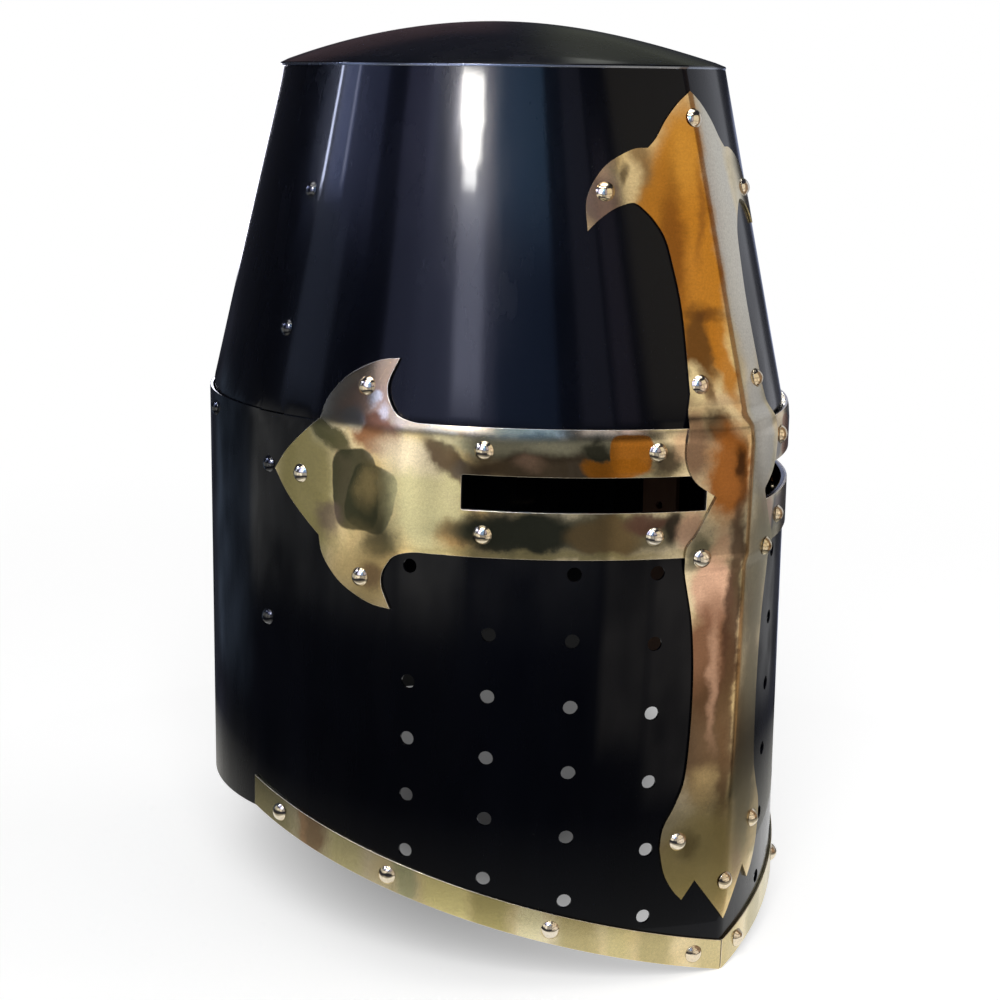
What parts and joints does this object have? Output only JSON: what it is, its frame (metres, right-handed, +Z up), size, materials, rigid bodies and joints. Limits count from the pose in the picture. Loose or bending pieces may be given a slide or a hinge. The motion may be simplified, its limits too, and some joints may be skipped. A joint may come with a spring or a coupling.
{
  "type": "great helm",
  "caption": "Keeled steel great helm: riveted plates, brass cross round the eye slits, breath holes, brass lower rim, leather liner and buckled chin strap.",
  "frame": {"origin": "under the middle of the helm's bounding box, level with the lowest point of the face plate", "axes": "+Z up, -Y the way the wearer looks (the nose ridge), +X the wearer's left"},
  "size_m": [0.2218, 0.2627, 0.3424],
  "materials": {
    "black_paint": "gloss black paint on sheet steel",
    "dome_paint": "gloss black paint on dished steel",
    "rivet_paint": "gloss black paint on domed rivet heads",
    "cross_brass": "polished brass with light tarnish",
    "trim_brass": "polished brass strip, paler",
    "rivet_brass": "polished brass rivet heads",
    "liner_leather": "russet vegetable-tanned leather",
    "strap_leather": "dark brown strap leather",
    "buckle_metal": "cast brass wire, satin"
  },
  "bodies": {
    "helm": {"face_plate": "black_paint", "lower_back_plate": "black_paint", "upper_front_plate": "black_paint", "upper_back_plate": "black_paint", "top_plate": "dome_paint", "cross_arm_right": "cross_brass", "cross_arm_left": "cross_brass", "cross_upright": "cross_brass", "rim_trim_right": "trim_brass", "rim_trim_left": "trim_brass", "seam_rivets_right": "rivet_paint", "seam_rivets_left": "rivet_paint", "cross_arm_rivets_right": "rivet_brass", "cross_arm_rivets_left": "rivet_brass", "rim_trim_rivets_right": "rivet_brass", "rim_trim_rivets_left": "rivet_brass", "cross_upright_rivets": "rivet_brass", "brow_rivets": "rivet_paint", "liner_band_front": "liner_leather", "liner_band_back": "liner_leather", "liner_crown_disc": "liner_leather", "buckle_strap": "strap_leather", "tongue_strap": "strap_leather", "fold_rivet": "rivet_brass", "liner_leaf_1": "liner_leather", "liner_leaf_2": "liner_leather", "liner_leaf_3": "liner_leather", "liner_leaf_4": "liner_leather", "liner_leaf_5": "liner_leather", "liner_leaf_6": "liner_leather", "liner_leaf_7": "liner_leather", "liner_leaf_8": "liner_leather"},
    "buckle_frame": {"buckle_frame": "buckle_metal"},
    "buckle_prong": {"buckle_prong": "buckle_metal"}
  },
  "joints": [
    {"name": "frame_swing", "type": "hinge", "parent": "helm", "child": "buckle_frame", "pos_m": [-0.09853, 0.0098, 0.112], "axis": [0, -1, 0], "range_deg": [-4, 50]},
    {"name": "prong_lift", "type": "hinge", "parent": "buckle_frame", "child": "buckle_prong", "pos_m": [-0.09853, 0.0098, 0.112], "axis": [0, -1, 0], "range_deg": [0, 85]}
  ]
}
